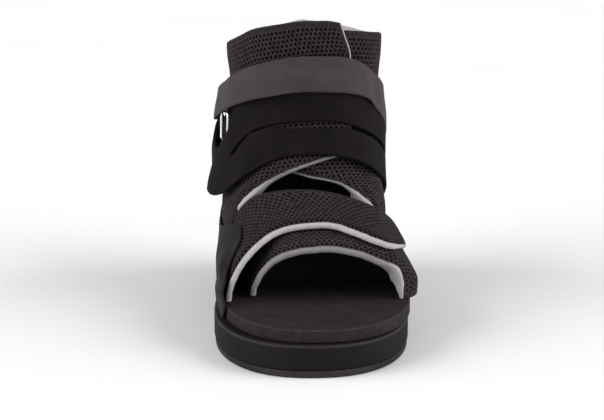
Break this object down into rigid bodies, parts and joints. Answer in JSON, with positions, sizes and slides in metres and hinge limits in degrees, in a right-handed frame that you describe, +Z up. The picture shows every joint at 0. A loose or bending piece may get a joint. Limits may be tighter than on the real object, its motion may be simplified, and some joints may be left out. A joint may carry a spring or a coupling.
{
  "type": "postoperative shoe",
  "caption": "Open-toed high-shaft postoperative shoe with a thick flat sole, lapped padded mesh upper, grey edge bindings and straps across the instep and the ankle.",
  "frame": {"origin": "middle of the sole's length on the tread's flat underside, where the shoe stands on the floor", "axes": "+Z up, -Y towards the toes, +X towards the side on which the inner toe flap is fixed"},
  "size_m": [0.1283, 0.2853, 0.1828],
  "materials": {
    "tread_rubber": "matte black rubber tread",
    "sole_foam": "matte black foam rubber",
    "insole_foam": "matte black foam footbed with a thin cloth face",
    "mesh_cloth": "dark padded air mesh with a light grey lining",
    "grey_tape": "light grey woven edge tape",
    "smooth_cloth": "smooth dark synthetic panel",
    "black_strap": "black brushed strap",
    "grey_strap": "dark grey smooth strap",
    "ring_steel": "bright wire"
  },
  "bodies": {
    "root": {"tread_layer": "tread_rubber", "sole_block": "sole_foam", "insole": "insole_foam", "toe_flap_inner": "mesh_cloth", "toe_inner_binding": "grey_tape", "toe_flap_outer": "mesh_cloth", "toe_outer_binding": "grey_tape", "quarter_right": "mesh_cloth", "quarter_right_binding": "grey_tape", "quarter_left": "mesh_cloth", "quarter_left_binding": "grey_tape", "quarter_left_edge_tape": "grey_tape", "heel_counter": "smooth_cloth", "strap_ring": "ring_steel", "instep_strap": "black_strap", "ankle_strap": "grey_strap"}
  },
  "joints": []
}
